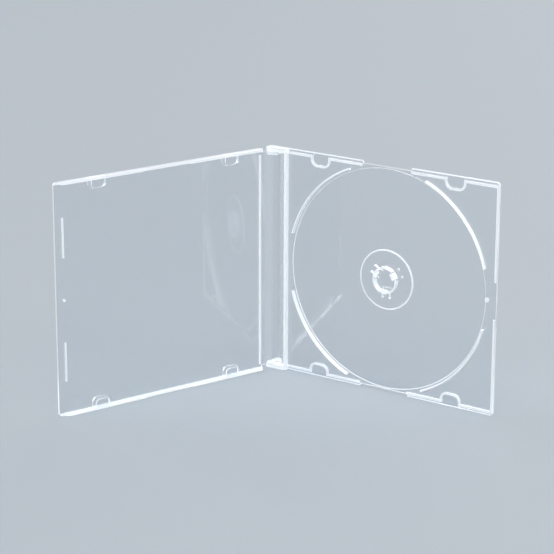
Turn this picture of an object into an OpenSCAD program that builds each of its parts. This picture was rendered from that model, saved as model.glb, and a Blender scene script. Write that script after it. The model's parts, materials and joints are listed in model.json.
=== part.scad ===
// Slim clear disc case, standing open on its long edge.
// Two moulded pieces: the tray that holds the disc and the lid hinged to it.
// The origin lies on the hinge line, on the plane the case stands on.

/* [Case] */
// Radius of the disc pocket, which the case is built round
pocket_r = 60.4; // [60.2:0.05:68]
// Width left between the pocket and the spine
spine_margin = 15.2; // [14.9:0.1:18]
// Width left between the pocket and the opening edge
edge_margin = 6; // [5:0.1:10]
// Width left between the pocket and the long edges
side_margin = 2.1; // [1.9:0.1:4]
// Thickness when closed
case_t = 5.2; // [5:0.1:6.5]
// Angle the lid is opened to
open_deg = 108.4; // [0:0.1:180]
// Corner radius at the opening edge
corner_r = 1.8; // [0.5:0.1:4]

/* [Panels and walls] */
// Thickness of the lid panel
lid_panel_t = 1.2; // [1:0.05:1.5]
// Thickness of the tray panel
tray_panel_t = 1.2; // [1:0.05:1.4]
// Thickness of the lid's side walls
side_wall_t = 1.2; // [0.9:0.05:1.3]
// Gap between the lid's walls and the tray when closed
close_gap = 0.3; // [0.1:0.05:0.6]

/* [Hinge] */
// Distance of the hinge line from the spine end
hinge_u = 4.45; // [4:0.05:4.8]
// Radius of the pegs on the lid
peg_r = 1.2; // [0.9:0.05:1.4]
// Length of the pegs on the lid
peg_len = 1.25; // [0.8:0.05:1.4]
// Radial clearance of a peg in its hole
peg_gap = 0.06; // [0.03:0.01:0.1]
// Depth left behind a peg in its hole
peg_end_gap = 0.1; // [0.05:0.05:0.2]
// Thickness of the ears that carry the pegs
ear_t = 1.65; // [1.2:0.05:2.5]
// Radius of an ear round its peg
ear_r = 2; // [1.6:0.05:2.1]
// Length of an ear's foot along the lid panel
ear_foot = 8.7; // [7:0.1:9.5]
// Thickness of the lugs on the tray
lug_t = 2.2; // [2:0.05:2.6]
// Straight length of a lug before its round end
lug_len = 9.6; // [9:0.1:10]
// Radius of a lug's round end
lug_end_r = 3.2; // [2.5:0.1:3.4]
// How far a lug stays below the closed thickness
lug_drop = 0.2; // [0.1:0.05:0.5]
// Radius on the lug corners at the spine end
lug_corner_r = 0.7; // [0.3:0.1:1.2]
// Sideways gap between lug and ear
ear_gap = 0.15; // [0.1:0.05:0.3]

/* [Spine] */
// Thickness of the lid's spine wall
spine_wall_t = 1.3; // [0.9:0.05:1.5]
// Distance from the back face to the spine wall's rim
spine_rim_w = 1.85; // [1.2:0.05:2.6]
// Depth of the thinned strip beside the spine wall
strip_recess = 0.3; // [0.1:0.05:0.4]
// Distance of the thinned strip's edge from the spine
strip_u = 5.4; // [5:0.1:6.5]
// Distance of the tray's upright rail from the spine
rail_u = 11.1; // [10.8:0.05:11.3]
// Thickness of the tray's upright rail
rail_t = 1.3; // [1:0.05:1.4]
// Gap between the rail and the closed lid
rail_gap = 0.15; // [0.1:0.05:0.4]

/* [Lid details] */
// Distance of the booklet stop from the spine
stop_u = 13.3; // [12.9:0.05:14]
// Width of the booklet stop
stop_t = 1; // [0.8:0.05:1.2]
// Height of the booklet stops above the panel
stop_rise = 0.8; // [0.5:0.05:1]
// Space left at both ends of the long booklet stop
stop_end = 3.4; // [3:0.1:6]
// Distance of the short stops from the opening edge
short_stop_in = 4.8; // [4:0.1:6]
// Thickness of the short stops
short_stop_t = 0.8; // [0.6:0.05:1]
// Length of a short stop
short_stop_len = 21.2; // [15:0.1:26]
// Distance of a short stop's middle from the case middle
short_stop_off = 33.2; // [25:0.1:38]
// Width of a booklet tab
tab_w = 8.4; // [6:0.1:9]
// Reach of a booklet tab from the outer face of the wall
tab_reach = 5.4; // [4:0.1:5.8]
// Thickness of a booklet tab
tab_t = 0.7; // [0.6:0.05:0.9]
// Corner radius of a booklet tab
tab_r = 2; // [1:0.1:2.6]
// Width left free round a tab by the opening in the panel behind it
tab_clear = 0.85; // [0.5:0.05:1.2]
// Distance of a tab's face from the wall's rim
tab_set = 0.2; // [0.1:0.05:0.4]
// Height of the finger relief in the lid's rim
relief_rise = 0.75; // [0.4:0.05:1]
// Length of the rounded tail of a side wall
tail_len = 6.8; // [5.8:0.1:9]
// Radius of the rounded tail of a side wall
tail_r = 4.5; // [3.6:0.1:5]
// Length of a catch bump inside a side wall
catch_len = 4; // [2:0.1:6]
// Distance of a catch bump from the disc's middle
catch_off = 26.6; // [20:0.1:30]
// Radius of a catch bump
catch_r = 0.22; // [0.15:0.01:0.25]
// Radius of the moulding gate mark on the lid
lid_gate_r = 0.9; // [0.5:0.1:1.4]
// Distance of the lid's gate mark from the opening edge
lid_gate_in = 4.5; // [4:0.1:6]
// Height of the moulding gate marks
gate_rise = 0.3; // [0.1:0.05:0.5]

/* [Tray details] */
// Depth of the disc pocket below the panel's face
pocket_depth = 0.3; // [0.1:0.05:0.4]
// Width of the pocket's sloped wall
pocket_slope = 0.4; // [0.2:0.05:0.6]
// Width of the gap between the pocket and its guard arcs
arc_gap = 0.8; // [0.5:0.05:1]
// Thickness of the guard arcs
arc_t = 1.1; // [0.8:0.05:1.4]
// Height of the guard arcs above the panel
arc_rise = 2; // [1.2:0.05:2.3]
// Angle of the guard arcs' first end
arc_from = 15.3; // [13:0.1:20]
// Angle of the guard arcs' second end
arc_to = 67.7; // [62:0.1:68]
// Height of the ridge above the panel
ridge_rise = 0.8; // [0.5:0.05:0.9]
// Width of the flat flange outside the ridge
flange_w = 1.5; // [1.45:0.05:1.8]
// Thickness of the ridge
ridge_t = 1.2; // [0.9:0.05:1.4]
// Thickness of the ridge at the opening edge
lip_t = 1; // [0.8:0.05:1.4]
// Length of the notch in the opening edge's ridge
lip_notch = 20; // [12:0.5:30]
// Distance of the booklet tabs from the disc's middle
tab_off = 41.6; // [38:0.1:43]
// Shift of the tabs and their bays from the disc toward the opening edge
tab_shift = -0.6; // [-1.5:0.1:0.5]
// Clear width of a tab bay in the ridge
bay_w = 9.9; // [9.6:0.1:12]
// Depth of a tab bay from the tray's edge
bay_reach = 6.4; // [6.1:0.1:7]
// Corner radius inside a tab bay
bay_r = 3; // [1.5:0.1:3]
// Length of the finger gaps
grip_len = 30; // [20:0.5:34]
// Distance of the finger gaps' middle from the disc's middle
grip_off = -0.8; // [-2:0.1:2]
// Depth of the finger gaps
grip_depth = 1.45; // [0.8:0.05:1.5]
// Distance of the rest nubs on the flange from the disc's middle
nub_off = 46.8; // [44:0.1:56]
// Length of a rest nub on the flange
nub_len = 1.6; // [1:0.1:3]
// Width of a rest nub on the flange
nub_w = 0.8; // [0.5:0.1:1.2]
// Height left between a rest nub and the lid's wall
nub_gap = 0.08; // [0.05:0.01:0.2]

/* [Hub] */
// Outer radius of the raised seat under the disc
seat_r = 16.6; // [14:0.1:18]
// Width of the seat's rim
seat_rim_w = 1; // [0.6:0.1:1.5]
// Height of the seat above the panel's face
seat_rise = 0.15; // [0.05:0.05:0.3]
// Height of the seat's rim above the panel's face
seat_rim_rise = 0.4; // [0.3:0.05:0.5]
// Outer radius of the hub ring
hub_r = 7.4; // [7.2:0.05:7.45]
// Thickness of the hub ring
hub_t = 1; // [0.8:0.05:1.2]
// Distance from the back face to the hub ring's rim
hub_top_w = 3.4; // [2.9:0.05:3.5]
// Distance from the back face to the tongues' tops
tongue_top_w = 3.75; // [3.6:0.05:3.8]
// Width of a spring tongue
tongue_w = 3.8; // [3:0.1:4.4]
// Width of the slits beside a tongue
slit_w = 0.6; // [0.4:0.05:0.8]
// Radius of the circle the slits end on
slit_end_r = 9.7; // [9:0.1:10.5]
// Radius of the round holes that end the slits
slit_hole_r = 0.6; // [0.4:0.05:0.8]
// Distance of a tongue's tip from the hub's middle
tongue_tip_r = 4.8; // [4.2:0.1:5.4]
// Thickness of a tongue's turned-in tip
tongue_t = 0.7; // [0.5:0.05:0.9]
// Distance of the opening below a tip from the hub's middle
window_r = 4.3; // [3.8:0.1:4.6]
// Radius of the retaining bead on a tongue
bead_r = 0.35; // [0.2:0.05:0.4]
// How far the bead stands out of the hub's outer face
bead_out = 0.08; // [0.03:0.01:0.15]
// Distance of the bead from a tongue's top
bead_down = 0.5; // [0.4:0.05:0.7]
// Radius of the moulding gate mark on the tray
tray_gate_r = 1.3; // [0.8:0.1:1.6]

/* [Hidden] */
$fn = 64;
quarter = 90;
overlap = 0.2;
through = 4 * case_t;
disc_u = spine_margin + pocket_r;
case_w = disc_u + pocket_r + edge_margin;
mid_v = pocket_r + side_margin;
case_h = 2 * mid_v;
hinge_w = case_t / 2;
lid_inner_w = case_t - lid_panel_t;
rim_w = tray_panel_t + close_gap;
lug_d = case_t - lug_drop;
lug_mid_w = lug_d - lug_end_r;
hole_r = peg_r + peg_gap;
hole_depth = peg_len - ear_gap + peg_end_gap;
neck_v = lug_t + ear_gap;
notch_u = lug_len + sqrt(lug_end_r ^ 2 - max(0, lid_inner_w - lug_mid_w) ^ 2) + ear_gap + peg_end_gap;
wall_end_u = lug_len + lug_end_r + ear_gap * 4;
rail_top_w = lid_inner_w - rail_gap;
pocket_floor_w = tray_panel_t - pocket_depth;
arc_r = pocket_r + arc_gap;
tongue_angles = [30, 150, 270];
tongue_half = tongue_w / 2;
bead_inset_deg = 1;
seat_top_w = tray_panel_t + seat_rise;
slit_mid = tongue_half + slit_w / 2;
tab_us = [disc_u + tab_shift - tab_off, disc_u + tab_shift + tab_off];
tail_u = case_w - tail_len;
grip_from = disc_u + grip_off - grip_len / 2;
grip_to = grip_from + grip_len;
relief_top_w = rim_w + relief_rise;

// Stands a piece drawn flat up on its edge, with the hinge line as the origin.
module stand_up() {
    rotate([quarter, 0, 0])
        translate([-hinge_u, 0, -hinge_w])
            children();
}

// Repeats a feature at both long edges of the case.
module both_edges() {
    children();
    translate([0, case_h, 0])
        mirror([0, 1, 0])
            children();
}

// Turns an outline drawn in length and depth into a wall at the lower edge.
module wall_from(low_v, thick) {
    translate([0, low_v + thick, 0])
        rotate([quarter, 0, 0])
            linear_extrude(thick)
                children();
}

// Outline of a panel with two round corners at the opening edge.
module panel_outline(from_u, low_v) {
    translate([from_u, low_v])
        square([case_w - corner_r - from_u, case_h - 2 * low_v]);
    translate([case_w - corner_r - overlap, corner_r])
        square([corner_r + overlap, case_h - 2 * corner_r]);
    translate([case_w - corner_r, corner_r])
        circle(corner_r);
    translate([case_w - corner_r, case_h - corner_r])
        circle(corner_r);
}

// Outline of a tongue-shaped plate with two round corners, from the edge inward.
module bay_outline(wide, reach, round_r) {
    intersection() {
        translate([-wide / 2, 0])
            square([wide, reach]);
        union() {
            translate([-wide / 2, 0])
                square([wide, reach - round_r]);
            translate([round_r - wide / 2, reach - round_r - overlap])
                square([wide - 2 * round_r, round_r + overlap]);
            for (side = [-1, 1])
                translate([side * (wide / 2 - round_r), reach - round_r])
                    circle(round_r);
        }
    }
}

// Lid: outline of the opening behind a tab, from the side wall's inner face inward.
module opening_outline() {
    difference() {
        bay_outline(tab_w + 2 * tab_clear, tab_reach + tab_clear, tab_r + tab_clear);
        translate([-tab_w, -overlap])
            square([2 * tab_w, side_wall_t + overlap]);
    }
}

// Lid: flat front panel, narrowed between the tray's lugs, with an opening behind each tab.
module lid_panel() {
    color("lightsteelblue")
        translate([0, 0, lid_inner_w])
            linear_extrude(lid_panel_t)
                difference() {
                    union() {
                        panel_outline(notch_u, 0);
                        translate([0, neck_v])
                            square([notch_u + overlap, case_h - 2 * neck_v]);
                    }
                    for (at_u = tab_us) {
                        translate([at_u, 0])
                            opening_outline();
                        translate([at_u, case_h])
                            mirror([0, 1])
                                opening_outline();
                    }
                }
}

// Lid: side wall with a slanted hinge end, a finger relief and a rounded tail.
module lid_side_wall() {
    color("lightsteelblue")
        wall_from(0, side_wall_t) {
            polygon([
                [notch_u, lid_inner_w + overlap],
                [notch_u, lid_inner_w],
                [wall_end_u, rim_w],
                [grip_from, rim_w],
                [grip_from + relief_rise, relief_top_w],
                [grip_to - relief_rise, relief_top_w],
                [grip_to, rim_w],
                [tail_u, rim_w],
                [tail_u, lid_inner_w + overlap]
            ]);
            intersection() {
                translate([tail_u, rim_w + tail_r])
                    circle(tail_r);
                translate([tail_u - overlap, rim_w])
                    square([tail_r, lid_inner_w + overlap - rim_w]);
            }
        }
}

// Lid: round-cornered tab that holds the booklet.
module lid_tab(at_u) {
    color("lightsteelblue")
        translate([at_u, 0, rim_w + tab_set])
            linear_extrude(tab_t)
                difference() {
                    bay_outline(tab_w, tab_reach, tab_r);
                    translate([-tab_w, -overlap])
                        square([2 * tab_w, side_wall_t / 2 + overlap]);
                }
}

// Lid: low bump inside a side wall that clicks over the tray's ridge.
module lid_catch() {
    color("lightsteelblue")
        translate([disc_u + catch_off - catch_len / 2, side_wall_t, relief_top_w + catch_r])
            rotate([0, quarter, 0])
                cylinder(h = catch_len, r = catch_r);
}

// Lid: ear at the end of the spine with its outward peg.
module lid_ear() {
    color("lightsteelblue") {
        wall_from(neck_v, ear_t) {
            translate([hinge_u, hinge_w])
                circle(ear_r);
            polygon([
                [hinge_u - ear_r, hinge_w],
                [hinge_u + ear_r, hinge_w],
                [ear_foot, lid_inner_w],
                [ear_foot, lid_inner_w + overlap],
                [spine_wall_t / 2, lid_inner_w + strip_recess + overlap],
                [spine_wall_t / 2, lid_inner_w - overlap]
            ]);
        }
        translate([hinge_u, neck_v + overlap, hinge_w])
            rotate([quarter, 0, 0])
                cylinder(h = peg_len + overlap, r = peg_r);
    }
}

// Lid: wall that closes the spine between the ears.
module lid_spine_wall() {
    color("lightsteelblue")
        translate([0, neck_v, spine_rim_w])
            cube([spine_wall_t, case_h - 2 * neck_v, case_t - spine_rim_w]);
}

// Lid: long stop beside the spine and short stops at the opening edge.
module lid_stops() {
    color("lightsteelblue") {
        translate([stop_u, stop_end, lid_inner_w - stop_rise])
            cube([stop_t, case_h - 2 * stop_end, stop_rise + overlap]);
        for (side = [-1, 1])
            translate([
                case_w - short_stop_in,
                mid_v + side * short_stop_off - short_stop_len / 2,
                lid_inner_w - stop_rise
            ])
                cube([short_stop_t, short_stop_len, stop_rise + overlap]);
    }
}

// Lid: round mark left by the moulding gate.
module lid_gate() {
    color("lightsteelblue")
        translate([case_w - lid_gate_in, mid_v, lid_inner_w - gate_rise])
            cylinder(h = gate_rise + overlap, r = lid_gate_r);
}

// Lid: strip thinned from the inside between the spine wall and the panel.
module lid_strip_cut() {
    translate([spine_wall_t, neck_v + ear_t, lid_inner_w - overlap])
        cube([strip_u - spine_wall_t, case_h - 2 * (neck_v + ear_t), strip_recess + overlap]);
}

// Lid: the whole moulding, drawn lying in the closed case.
module lid_flat() {
    difference() {
        union() {
            lid_panel();
            lid_spine_wall();
        }
        lid_strip_cut();
    }
    both_edges() {
        lid_side_wall();
        lid_ear();
        lid_catch();
        for (at_u = tab_us)
            lid_tab(at_u);
    }
    lid_stops();
    lid_gate();
}

// Tray: outline of the panel with its two finger gaps.
module tray_outline() {
    difference() {
        panel_outline(rail_u, 0);
        for (low_v = [-overlap, case_h - grip_depth])
            translate([grip_from, low_v])
                square([grip_len, grip_depth + overlap]);
    }
}

// Tray: outline of the low ridge that steps round the lid's tabs.
module ridge_outline() {
    wide = bay_w + 2 * ridge_t;
    reach = bay_reach + ridge_t;
    difference() {
        union() {
            difference() {
                panel_outline(rail_u, 0);
                translate([rail_u - overlap, flange_w + ridge_t])
                    square([case_w - lip_t - rail_u + overlap, case_h - 2 * (flange_w + ridge_t)]);
            }
            for (at_u = tab_us) {
                translate([at_u, 0])
                    bay_outline(wide, reach, bay_r + ridge_t);
                translate([at_u, case_h])
                    mirror([0, 1])
                        bay_outline(wide, reach, bay_r + ridge_t);
            }
        }
        for (low_v = [-overlap, case_h - flange_w])
            translate([rail_u - overlap, low_v])
                square([case_w, flange_w + overlap]);
        for (at_u = tab_us) {
            translate([at_u, 0])
                bay_outline(bay_w, bay_reach, bay_r);
            translate([at_u, case_h])
                mirror([0, 1])
                    bay_outline(bay_w, bay_reach, bay_r);
        }
        translate([grip_from, -overlap])
            square([grip_len, case_h + 2 * overlap]);
        translate([case_w - 2 * lip_t, mid_v - lip_notch / 2])
            square([3 * lip_t, lip_notch]);
    }
}

// Tray: flat back panel with its ridge.
module tray_panel() {
    color("slategray") {
        linear_extrude(tray_panel_t)
            tray_outline();
        translate([0, 0, tray_panel_t - overlap])
            linear_extrude(ridge_rise + overlap)
                ridge_outline();
    }
}

// Tray: shallow pocket for the disc, cut with a sloped wall.
module disc_pocket() {
    translate([disc_u, mid_v, 0])
        rotate_extrude()
            polygon([
                [0, pocket_floor_w],
                [pocket_r - pocket_slope, pocket_floor_w],
                [pocket_r, tray_panel_t],
                [pocket_r, through],
                [0, through]
            ]);
}

// Tray: upright rail along the spine.
module tray_rail() {
    color("slategray")
        translate([rail_u, lug_t - overlap, 0])
            cube([rail_t, case_h - 2 * (lug_t - overlap), rail_top_w]);
}

// Outline of a lug in length and depth, round at its far end.
module lug_outline() {
    translate([lug_corner_r, 0])
        square([lug_len - lug_corner_r, lug_d]);
    translate([0, lug_corner_r])
        square([lug_len, lug_d - 2 * lug_corner_r]);
    for (at_w = [lug_corner_r, lug_d - lug_corner_r])
        translate([lug_corner_r, at_w])
            circle(lug_corner_r);
    intersection() {
        translate([lug_len, lug_mid_w])
            circle(lug_end_r);
        translate([lug_len - overlap, lug_mid_w - overlap])
            square([lug_end_r + overlap, lug_end_r + overlap]);
    }
    translate([lug_len - overlap, 0])
        square([lug_end_r + overlap, lug_mid_w]);
}

// Tray: hinge lug with a blind hole for the lid's peg.
module tray_lug() {
    color("slategray")
        difference() {
            wall_from(0, lug_t)
                lug_outline();
            translate([hinge_u, lug_t + overlap, hinge_w])
                rotate([quarter, 0, 0])
                    cylinder(h = hole_depth + overlap, r = hole_r);
        }
}

// Tray: guard arcs with round tops, round the disc pocket.
module tray_arcs() {
    half_t = arc_t / 2;
    color("slategray")
        for (turn = [0, 1], flip = [0, 1])
            translate([disc_u, mid_v, 0])
                mirror([turn, 0, 0])
                    mirror([0, flip, 0])
                        rotate([0, 0, arc_from])
                            translate([0, 0, tray_panel_t])
                                rotate_extrude(angle = arc_to - arc_from) {
                                    translate([arc_r, -overlap])
                                        square([arc_t, arc_rise - half_t + overlap]);
                                    translate([arc_r + half_t, arc_rise - half_t])
                                        circle(half_t);
                                }
}

// Tray: raised seat with its round rim, and the hub ring that fits the hole in the disc.
module hub_boss() {
    half_rim_w = seat_rim_w / 2;
    color("slategray")
        translate([disc_u, mid_v, 0])
            difference() {
                union() {
                    cylinder(h = seat_top_w, r = seat_r - half_rim_w);
                    cylinder(h = hub_top_w, r = hub_r);
                    rotate_extrude()
                        translate([seat_r - half_rim_w, tray_panel_t + seat_rim_rise - half_rim_w])
                            circle(half_rim_w);
                }
                translate([0, 0, pocket_floor_w])
                    cylinder(h = case_t, r = hub_r - hub_t);
            }
}

// Tray: openings that free the three tongues from the hub and the panel.
module hub_cuts() {
    translate([disc_u, mid_v, -overlap])
        for (turn = tongue_angles)
            rotate([0, 0, turn]) {
                for (side = [-1, 1]) {
                    translate([window_r, side * slit_mid - slit_w / 2, 0])
                        cube([slit_end_r - window_r, slit_w, through]);
                    translate([slit_end_r, side * slit_mid, 0])
                        cylinder(h = through, r = slit_hole_r);
                }
                translate([window_r, -slit_mid, 0])
                    cube([hub_r - hub_t - window_r, 2 * slit_mid, through]);
            }
}

// Tray: spring tongue with a turned-in tip and a bead that holds the disc.
module hub_tongue() {
    bead_turn = asin(tongue_half / hub_r) - bead_inset_deg;
    color("slategray") {
        intersection() {
            cylinder(h = tongue_top_w, r = hub_r);
            union() {
                translate([hub_r - hub_t, -tongue_half, tray_panel_t])
                    cube([hub_t, tongue_w, tongue_top_w - tray_panel_t]);
                translate([tongue_tip_r, -tongue_half, tongue_top_w - tongue_t])
                    cube([hub_r - tongue_tip_r, tongue_w, tongue_t]);
            }
        }
        rotate([0, 0, -bead_turn])
            rotate_extrude(angle = 2 * bead_turn)
                translate([hub_r - bead_r + bead_out, tongue_top_w - bead_down])
                    circle(bead_r);
    }
}

// Tray: low nubs on the flange that the lid's walls rest on when closed.
module tray_nubs() {
    color("slategray")
        for (side = [-1, 1])
            translate([disc_u + side * nub_off - nub_len / 2, 0, tray_panel_t - overlap])
                cube([nub_len, nub_w, overlap + close_gap - nub_gap]);
}

// Tray: round mark left by the moulding gate.
module tray_gate() {
    color("slategray")
        translate([disc_u + arc_r, mid_v, pocket_floor_w - overlap])
            cylinder(h = overlap + pocket_depth + gate_rise, r = tray_gate_r);
}

// Tray: the whole moulding, drawn lying on its back face.
module tray_flat() {
    difference() {
        union() {
            difference() {
                tray_panel();
                disc_pocket();
            }
            hub_boss();
            tray_gate();
        }
        hub_cuts();
    }
    tray_rail();
    both_edges() {
        tray_lug();
        tray_nubs();
    }
    tray_arcs();
    translate([disc_u, mid_v, 0])
        for (turn = tongue_angles)
            rotate([0, 0, turn])
                hub_tongue();
}

// The tray, stood up on its edge.
module tray() {
    stand_up()
        tray_flat();
}

// The lid, stood up and swung open on the hinge line.
module lid() {
    rotate([0, 0, -open_deg])
        stand_up()
            lid_flat();
}

tray();
lid();
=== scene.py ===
"""A slim disc case, standing open: its two clear mouldings, the floor and the light."""

import json
import math

import bpy
from mathutils import Matrix, Vector


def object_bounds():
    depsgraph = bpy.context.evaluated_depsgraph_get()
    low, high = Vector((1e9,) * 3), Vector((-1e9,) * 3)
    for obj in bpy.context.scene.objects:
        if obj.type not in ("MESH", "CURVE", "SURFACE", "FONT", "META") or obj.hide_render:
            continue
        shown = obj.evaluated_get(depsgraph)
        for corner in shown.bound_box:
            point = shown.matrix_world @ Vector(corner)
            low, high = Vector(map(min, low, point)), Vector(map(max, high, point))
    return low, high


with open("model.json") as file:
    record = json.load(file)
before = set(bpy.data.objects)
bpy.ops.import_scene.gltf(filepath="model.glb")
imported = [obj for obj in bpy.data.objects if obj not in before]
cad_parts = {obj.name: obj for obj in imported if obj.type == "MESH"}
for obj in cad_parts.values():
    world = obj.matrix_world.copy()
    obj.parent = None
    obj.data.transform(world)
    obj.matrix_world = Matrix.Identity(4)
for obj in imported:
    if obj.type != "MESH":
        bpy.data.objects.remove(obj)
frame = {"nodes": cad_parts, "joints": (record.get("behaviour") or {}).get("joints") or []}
cad_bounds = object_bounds()

# CAMERA
# Stands where the photograph was taken from: to the right of the open case, a little above
# it and more than a metre away. Its place, turn and long lens come from fitting the case's
# outline to the photograph.
camera_place = Vector((0.6599, -0.9360, 0.3950))
camera_turn = math.radians(35.128)
camera_tip = math.radians(73.324)
camera_roll = math.radians(0.14)
bpy.ops.object.camera_add()
camera = bpy.context.object
camera.name = "camera"
camera.matrix_world = (
    Matrix.Translation(camera_place)
    @ Matrix.Rotation(camera_turn, 4, "Z")
    @ Matrix.Rotation(camera_tip, 4, "X")
    @ Matrix.Rotation(camera_roll, 4, "Z")
)
camera.data.sensor_width = 36.0
camera.data.lens = 141.9
camera.data.clip_start = 0.05
camera.data.clip_end = 30.0
bpy.context.scene.camera = camera


# TRAY
# The half that holds the disc, one moulding in clear crystal polystyrene. It is shot in a
# polished steel mould, so its faces are bright, with faint flow waves and a few hairlines.
def linear(hex_colour):
    """An sRGB colour written as hex, turned to the linear values that Blender reads."""
    parts = [int(hex_colour[i : i + 2], 16) / 255 for i in (1, 3, 5)]
    return [
        *(p / 12.92 if p <= 0.04045 else ((p + 0.055) / 1.055) ** 2.4 for p in parts),
        1.0,
    ]


def add_node(tree, kind, settings=None, values=None, links=None):
    """One shader node with its settings, its socket values and the sockets that feed it."""
    node = tree.nodes.new(kind)
    for name, value in (settings or {}).items():
        setattr(node, name, value)
    for name, value in (values or {}).items():
        node.inputs[name].default_value = value
    for name, source in (links or {}).items():
        tree.links.new(source, node.inputs[name])
    return node


def frosted_share(tree, place, opened_deg, rib_tops_mm, rims_mm):
    """How frosted a moulding is, from 0 to 1. The mould's slots for edges, ribs and rims were
    eroded, which leaves those places faintly matt. The panels, and all of the spine between
    the lugs, were polished. Places are told on the closed case's own axes: X from the hinge
    to the opening edge, Y out of the back and Z up. Whatever lies within rib_tops_mm on Y
    belongs to a rib, tab or wall, and the outermost rims_mm at both ends are rims."""
    panel_facing = 0.97  # a face tilted by up to 14 degrees is as bright as the panel
    edge_facing = 0.85  # a face tilted by more than 32 degrees is fully frosted
    spine_border_mm = (0.9, 1.1)  # frosting starts and is full this far past the hinge line
    lug_border_mm = (58.2, 58.5)  # and this far above and below the middle, at the hinge
    bottom, top = cad_bounds[0][2], cad_bounds[1][2]
    middle = (bottom + top) / 2
    half_height = (top - bottom) / 2

    closed = add_node(
        tree,
        "ShaderNodeMapping",
        values={"Rotation": (0.0, 0.0, math.radians(opened_deg))},
        links={"Vector": place.outputs["Object"]},
    )
    along = add_node(
        tree, "ShaderNodeSeparateXYZ", links={"Vector": closed.outputs["Vector"]}
    )
    closed_normal = add_node(
        tree,
        "ShaderNodeVectorRotate",
        {"rotation_type": "Z_AXIS"},
        {"Angle": math.radians(opened_deg)},
        {"Vector": place.outputs["Normal"]},
    )
    normal = add_node(
        tree, "ShaderNodeSeparateXYZ", links={"Vector": closed_normal.outputs["Vector"]}
    )
    facing = add_node(
        tree, "ShaderNodeMath", {"operation": "ABSOLUTE"}, links={0: normal.outputs["Y"]}
    )
    edge = add_node(
        tree,
        "ShaderNodeMapRange",
        values={"From Min": panel_facing, "From Max": edge_facing},
        links={"Value": facing.outputs["Value"]},
    )
    deepest, shallowest = (depth / 1000 for depth in rib_tops_mm)
    rib_top = add_node(
        tree,
        "ShaderNodeMath",
        {"operation": "COMPARE"},
        {1: (deepest + shallowest) / 2, 2: (shallowest - deepest) / 2},
        {0: along.outputs["Y"]},
    )
    edge_or_rib = add_node(
        tree,
        "ShaderNodeMath",
        {"operation": "MAXIMUM"},
        links={0: edge.outputs["Result"], 1: rib_top.outputs["Value"]},
    )
    height = add_node(
        tree, "ShaderNodeMath", {"operation": "SUBTRACT"}, {1: middle}, {0: along.outputs["Z"]}
    )
    from_middle = add_node(
        tree, "ShaderNodeMath", {"operation": "ABSOLUTE"}, links={0: height.outputs["Value"]}
    )
    rim = add_node(
        tree,
        "ShaderNodeMath",
        {"operation": "GREATER_THAN"},
        {1: half_height - rims_mm / 1000},
        {0: from_middle.outputs["Value"]},
    )
    eroded = add_node(
        tree,
        "ShaderNodeMath",
        {"operation": "MAXIMUM"},
        links={0: edge_or_rib.outputs["Value"], 1: rim.outputs["Value"]},
    )
    past_spine = add_node(
        tree,
        "ShaderNodeMapRange",
        values={"From Min": spine_border_mm[0] / 1000, "From Max": spine_border_mm[1] / 1000},
        links={"Value": along.outputs["X"]},
    )
    at_lug = add_node(
        tree,
        "ShaderNodeMapRange",
        values={"From Min": lug_border_mm[0] / 1000, "From Max": lug_border_mm[1] / 1000},
        links={"Value": from_middle.outputs["Value"]},
    )
    off_spine = add_node(
        tree,
        "ShaderNodeMath",
        {"operation": "MAXIMUM"},
        links={0: past_spine.outputs["Result"], 1: at_lug.outputs["Result"]},
    )
    frosted = add_node(
        tree,
        "ShaderNodeMath",
        {"operation": "MULTIPLY"},
        links={0: eroded.outputs["Value"], 1: off_spine.outputs["Value"]},
    )
    return frosted.outputs["Value"]


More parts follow.
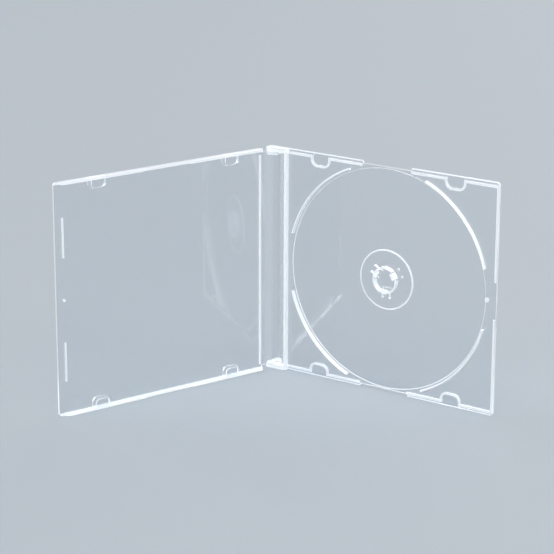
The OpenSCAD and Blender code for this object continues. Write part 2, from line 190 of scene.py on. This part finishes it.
def clear_polystyrene(name, tint, opened_deg, rib_tops_mm, rims_mm, wave_mm, hairline_mm):
    """Crystal polystyrene, injection moulded: glass clear and nearly colourless. Long flow
    waves make its bright panels mirror a little unevenly, and a few hairlines dull them. Real
    hairlines are finer, and are drawn as wide as they need to show. The frosted places
    scatter light, so edges, ribs and rims show up white."""
    wave_height_mm = 0.0015
    hairline_tilt = (0.0, 0.35, 0.2)  # in radians, off the upright
    hairline_length = 25  # times its width
    hairline_faint = 0.62  # where the noise starts to be a hairline
    hairline_plain = 0.78  # and where it is a plain one
    polished_roughness = 0.015
    hairline_roughness = 0.12
    frosted_roughness = 0.26
    frosted_clearness = 0.35  # the share of light that a frosted face lets through
    polystyrene_ior = 1.59

    material = bpy.data.materials.new(name)
    material.use_nodes = True
    tree = material.node_tree
    tree.nodes.clear()
    place = add_node(tree, "ShaderNodeTexCoord")
    frosted = frosted_share(tree, place, opened_deg, rib_tops_mm, rims_mm)
    waves = add_node(
        tree,
        "ShaderNodeTexNoise",
        values={"Scale": 1000 / wave_mm, "Detail": 2.0, "Roughness": 0.4},
        links={"Vector": place.outputs["Object"]},
    )
    panel = add_node(
        tree,
        "ShaderNodeMapRange",
        values={"To Min": 1.0, "To Max": 0.0},
        links={"Value": frosted},
    )
    surface = add_node(
        tree,
        "ShaderNodeBump",
        values={"Distance": wave_height_mm / 1000},
        links={"Height": waves.outputs["Fac"], "Strength": panel.outputs["Result"]},
    )
    stretched = add_node(
        tree,
        "ShaderNodeMapping",
        values={"Rotation": hairline_tilt, "Scale": (1.0, 1.0, 1 / hairline_length)},
        links={"Vector": place.outputs["Object"]},
    )
    hairlines = add_node(
        tree,
        "ShaderNodeTexNoise",
        values={"Scale": 1000 / hairline_mm, "Detail": 1.0},
        links={"Vector": stretched.outputs["Vector"]},
    )
    polished = add_node(
        tree,
        "ShaderNodeMapRange",
        values={
            "From Min": hairline_faint,
            "From Max": hairline_plain,
            "To Min": polished_roughness,
            "To Max": hairline_roughness,
        },
        links={"Value": hairlines.outputs["Fac"]},
    )
    roughness = add_node(
        tree,
        "ShaderNodeMix",
        {"data_type": "FLOAT"},
        {"B": frosted_roughness},
        {"Factor": frosted, "A": polished.outputs["Result"]},
    )
    clearness = add_node(
        tree,
        "ShaderNodeMapRange",
        values={"To Min": 1.0, "To Max": frosted_clearness},
        links={"Value": frosted},
    )
    plastic = add_node(
        tree,
        "ShaderNodeBsdfPrincipled",
        values={"Base Color": linear(tint), "IOR": polystyrene_ior},
        links={
            "Roughness": roughness.outputs["Result"],
            "Transmission Weight": clearness.outputs["Result"],
            "Normal": surface.outputs["Normal"],
        },
    )
    # lamps shine through it with a small loss, so it throws the faint shadow of clear plastic
    rays = add_node(tree, "ShaderNodeLightPath")
    lamp_light = add_node(
        tree, "ShaderNodeBsdfTransparent", values={"Color": linear("#dde2e6")}
    )
    look = add_node(
        tree,
        "ShaderNodeMixShader",
        links={
            0: rays.outputs["Is Shadow Ray"],
            1: plastic.outputs["BSDF"],
            2: lamp_light.outputs["BSDF"],
        },
    )
    add_node(tree, "ShaderNodeOutputMaterial", links={"Surface": look.outputs["Shader"]})
    return material


# only the lid turns as the case closes, so the tray's own axes are those of the closed case
tray = frame["nodes"]["tray"]
tray_plastic = clear_polystyrene(
    "moulded_crystal_polystyrene_tray",
    tint="#f4f7f9",
    opened_deg=0.0,
    rib_tops_mm=(-2.45, 1.15),
    rims_mm=0.45,
    wave_mm=9.0,
    hairline_mm=0.8,
)
for slot in tray.material_slots:
    slot.material = tray_plastic

# LID
# The front half, a second moulding in the same clear polystyrene. Its two pegs snap into the
# tray's lugs, and its tabs hold the booklet. It is closed at the far end of its range.
lid = frame["nodes"]["lid"]
closed_at_deg = frame["joints"][0]["range_deg"][1]
lid_plastic = clear_polystyrene(
    "moulded_crystal_polystyrene_lid",
    tint="#f6f9fb",
    opened_deg=closed_at_deg,
    rib_tops_mm=(-1.3, -0.4),
    rims_mm=1.25,
    wave_mm=14.0,
    hairline_mm=0.9,
)
for slot in lid.material_slots:
    slot.material = lid_plastic

# FLOOR
# A wide, plain sheet of pale matt paper that the case stands on, laid a hair below it so
# that no two faces coincide.
floor_across = 30.0
below_case = 0.0002
bpy.ops.mesh.primitive_plane_add(size=floor_across, location=(0.0, 0.0, -below_case))
floor = bpy.context.object
floor.name = "floor"
floor_paper = bpy.data.materials.new("matt_pale_paper")
floor_paper.use_nodes = True
paper_shader = floor_paper.node_tree.nodes["Principled BSDF"]
paper_shader.inputs["Base Color"].default_value = linear("#9da3a9")
paper_shader.inputs["Roughness"].default_value = 0.7
floor.data.materials.append(floor_paper)

# LIGHT
# Six soft boxes round the case, and a pale, even room. The boxes stand well off, so that they
# light the floor evenly.
world = bpy.data.worlds.new("room")
bpy.context.scene.world = world
world.use_nodes = True
room_light = world.node_tree.nodes["Background"]
room_light.inputs["Color"].default_value = linear("#dfe3e8")
room_light.inputs["Strength"].default_value = 0.75
inside_case = Vector((0.04, -0.04, 0.06))


def soft_box(name, place, size, power):
    """A rectangular lamp, with its size in metres and its power in watts, turned to the case."""
    bpy.ops.object.light_add(type="AREA", location=place)
    lamp = bpy.context.object
    lamp.name = name
    lamp.data.shape = "RECTANGLE"
    lamp.data.size, lamp.data.size_y = size
    lamp.data.energy = power
    lamp.rotation_euler = (inside_case - Vector(place)).to_track_quat("-Z", "Y").to_euler()


soft_box("key_light", place=(0.69, -1.19, 2.41), size=(2.0, 2.0), power=25.0)
soft_box("side_light", place=(-2.78, -0.22, 1.38), size=(1.5, 2.7), power=45.0)
soft_box("right_light", place=(2.92, -0.22, 1.38), size=(1.5, 2.7), power=27.0)
soft_box("low_left_light", place=(-1.3, -2.4, 0.8), size=(1.2, 1.0), power=26.0)
soft_box("low_right_light", place=(2.0, -1.8, 0.6), size=(1.2, 0.8), power=9.0)
soft_box("back_light", place=(0.19, 2.81, 1.66), size=(4.0, 1.25), power=50.0)

# a ray crosses two panels with all their ribs and rims, and mirrors between them
faces_met = 40
cycles = bpy.context.scene.cycles
cycles.max_bounces = faces_met
cycles.glossy_bounces = faces_met
cycles.transmission_bounces = faces_met
bpy.context.scene.view_settings.view_transform = "Standard"
